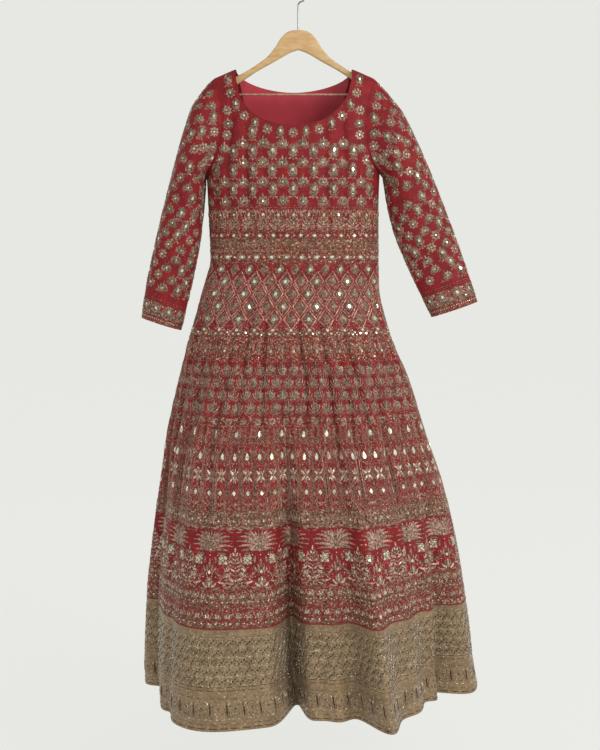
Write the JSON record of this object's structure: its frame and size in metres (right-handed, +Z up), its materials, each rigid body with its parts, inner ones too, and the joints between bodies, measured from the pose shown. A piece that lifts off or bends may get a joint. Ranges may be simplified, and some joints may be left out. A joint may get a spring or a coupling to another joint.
{
  "type": "anarkali gown on a wooden hanger",
  "caption": "Floor-length embroidered gown with flared panelled skirt, long sleeves and round neck, hung on a wooden hanger with a steel hook.",
  "frame": {"origin": "inside top of the hanger's hook, where a rail carries it", "axes": "+Z up, -Y out of the front of the gown, +X towards the wearer's left"},
  "size_m": [0.7508, 0.5852, 1.5538],
  "materials": {
    "embroidered_silk": "woven, dull sheen, embroidered",
    "gold_tissue": "metallic tissue, embroidered",
    "lining": "plain woven",
    "zari": "metal thread, satin stitch",
    "mirror_work": "small silvered glass and sequins",
    "piping": "covered cord",
    "hanger_wood": "clear satin varnish",
    "hanger_bar": "dull",
    "hook_steel": "plated wire"
  },
  "bodies": {
    "root": {"back_neck_lining": "lining", "bodice_back": "embroidered_silk", "bodice_front": "embroidered_silk", "hanger_bar": "hanger_bar", "hanger_wood": "hanger_wood", "hem_panel_01": "gold_tissue", "hem_panel_02": "gold_tissue", "hem_panel_03": "gold_tissue", "hem_panel_04": "gold_tissue", "hem_panel_05": "gold_tissue", "hem_panel_06": "gold_tissue", "hem_panel_07": "gold_tissue", "hem_panel_08": "gold_tissue", "hem_panel_09": "gold_tissue", "hem_panel_10": "gold_tissue", "hem_panel_11": "gold_tissue", "hem_panel_12": "gold_tissue", "hem_piping": "piping", "hook": "hook_steel", "kali_01": "embroidered_silk", "kali_02": "embroidered_silk", "kali_03": "embroidered_silk", "kali_04": "embroidered_silk", "kali_05": "embroidered_silk", "kali_06": "embroidered_silk", "kali_07": "embroidered_silk", "kali_08": "embroidered_silk", "kali_09": "embroidered_silk", "kali_10": "embroidered_silk", "kali_11": "embroidered_silk", "kali_12": "embroidered_silk", "sleeve_left_arm": "embroidered_silk", "sleeve_right_arm": "embroidered_silk"}
  },
  "joints": []
}
